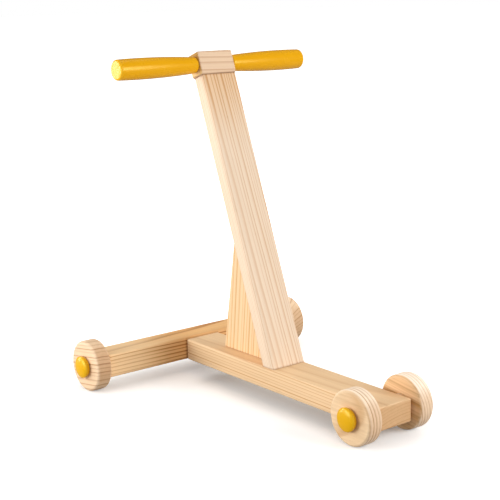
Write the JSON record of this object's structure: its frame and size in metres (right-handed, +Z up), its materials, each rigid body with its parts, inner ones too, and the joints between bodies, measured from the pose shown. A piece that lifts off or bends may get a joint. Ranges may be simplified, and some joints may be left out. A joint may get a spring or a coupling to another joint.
{
  "type": "baby push walker",
  "caption": "Pine push walker for a child learning to walk: T-shaped base on wooden wheels, braced post leaning back and a turned yellow handle.",
  "frame": {"origin": "on the floor, in the middle of the footprint, midway between the front and rear axles", "axes": "+Z up; -Y is the front, the way the walker is pushed, and the child stands at +Y; +X is the right side as seen from the front, and the wheels turn about X"},
  "size_m": [0.387, 0.4568, 0.4542],
  "materials": {
    "pine_board": "sanded pale pine, thin matt oil",
    "pine_wheel": "sanded pale pine, thin matt oil",
    "yellow_paint": "warm yellow satin paint on turned wood",
    "beech": "bare beech",
    "screw_steel": "zinc plated"
  },
  "bodies": {
    "frame": {"base_plank": "pine_board", "rear_crossbeam": "pine_board", "post": "pine_board", "gusset_brace": "pine_board", "head_block": "pine_board", "left_grip": "yellow_paint", "right_grip": "yellow_paint", "front_left_axle_peg": "yellow_paint", "front_right_axle_peg": "yellow_paint", "rear_left_axle_peg": "yellow_paint", "rear_right_axle_peg": "yellow_paint", "front_left_washer": "beech", "front_right_washer": "beech", "rear_left_washer": "beech", "rear_right_washer": "beech", "crossbeam_dowel_left": "beech", "crossbeam_dowel_right": "beech", "gusset_dowel_lower": "beech", "gusset_dowel_upper": "beech", "head_dowel": "beech", "post_screw_left": "screw_steel", "post_screw_right": "screw_steel", "gusset_screw_front": "screw_steel", "gusset_screw_rear": "screw_steel"},
    "front_left": {"front_left_wheel": "pine_wheel"},
    "front_right": {"front_right_wheel": "pine_wheel"},
    "rear_left": {"rear_left_wheel": "pine_wheel"},
    "rear_right": {"rear_right_wheel": "pine_wheel"}
  },
  "joints": [
    {"name": "front_left_spin", "type": "hinge", "parent": "frame", "child": "front_left", "pos_m": [-0.04315, -0.19353, 0.03489], "axis": [1, 0, 0], "continuous": true},
    {"name": "front_right_spin", "type": "hinge", "parent": "frame", "child": "front_right", "pos_m": [0.04315, -0.19353, 0.03489], "axis": [1, 0, 0], "continuous": true},
    {"name": "rear_left_spin", "type": "hinge", "parent": "frame", "child": "rear_left", "pos_m": [-0.1724, 0.19353, 0.03489], "axis": [1, 0, 0], "continuous": true},
    {"name": "rear_right_spin", "type": "hinge", "parent": "frame", "child": "rear_right", "pos_m": [0.1724, 0.19353, 0.03489], "axis": [1, 0, 0], "continuous": true}
  ]
}
